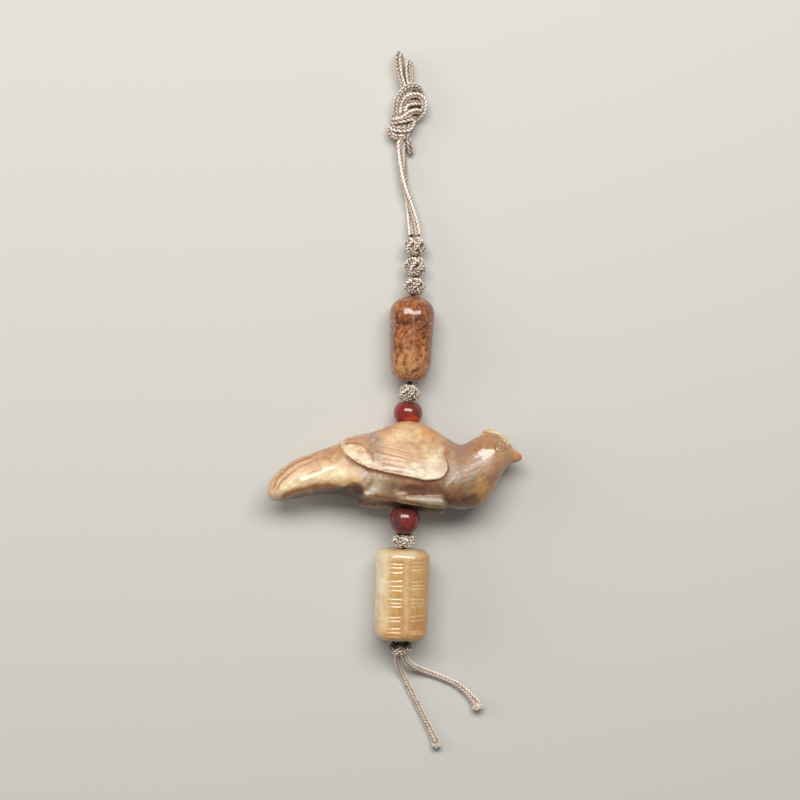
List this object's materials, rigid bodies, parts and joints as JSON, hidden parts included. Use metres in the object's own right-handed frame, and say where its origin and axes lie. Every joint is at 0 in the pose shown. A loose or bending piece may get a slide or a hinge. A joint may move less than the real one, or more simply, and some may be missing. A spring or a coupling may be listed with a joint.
{
  "type": "jade bird pendant",
  "caption": "Carved jade bird strung with round beads and knots above a squared jade tube, with a doubled braided cord to hang it by and loose cord tails.",
  "frame": {"origin": "on the surface that the pendant lies on, under the middle of the bird and of the bead string, midway between the end knot's foot and the top ball knot", "axes": "+X from the bird's tail to its beak, +Y up the string towards the hanging loop, +Z away from the surface, towards the side of the bird that shows"},
  "size_m": [0.0635, 0.1764, 0.0156],
  "materials": {
    "russet_jade": "polished, russet and ochre with pale cream wing and tail",
    "pale_jade": "polished, carved with shallow lines",
    "brown_agate": "polished, with dark and orange bands",
    "red_agate": "polished and translucent",
    "braided_cord": "plaited cream and brown thread",
    "thread": "dull"
  },
  "bodies": {
    "root": {"bird": "russet_jade", "upper_red_bead": "red_agate", "lower_red_bead": "red_agate", "brown_bead": "brown_agate", "jade_tube": "pale_jade", "ball_knot_top": "braided_cord", "ball_knot_middle": "braided_cord", "ball_knot_bottom": "braided_cord", "knot_above_bird": "braided_cord", "knot_below_bird": "braided_cord", "end_knot": "braided_cord", "bead_thread": "thread", "loop_knot": "braided_cord", "strand_a": "braided_cord", "strand_b": "braided_cord", "loop_a": "braided_cord", "loop_b": "braided_cord", "cut_end": "braided_cord", "tail_left": "braided_cord", "tail_right": "braided_cord"}
  },
  "joints": []
}
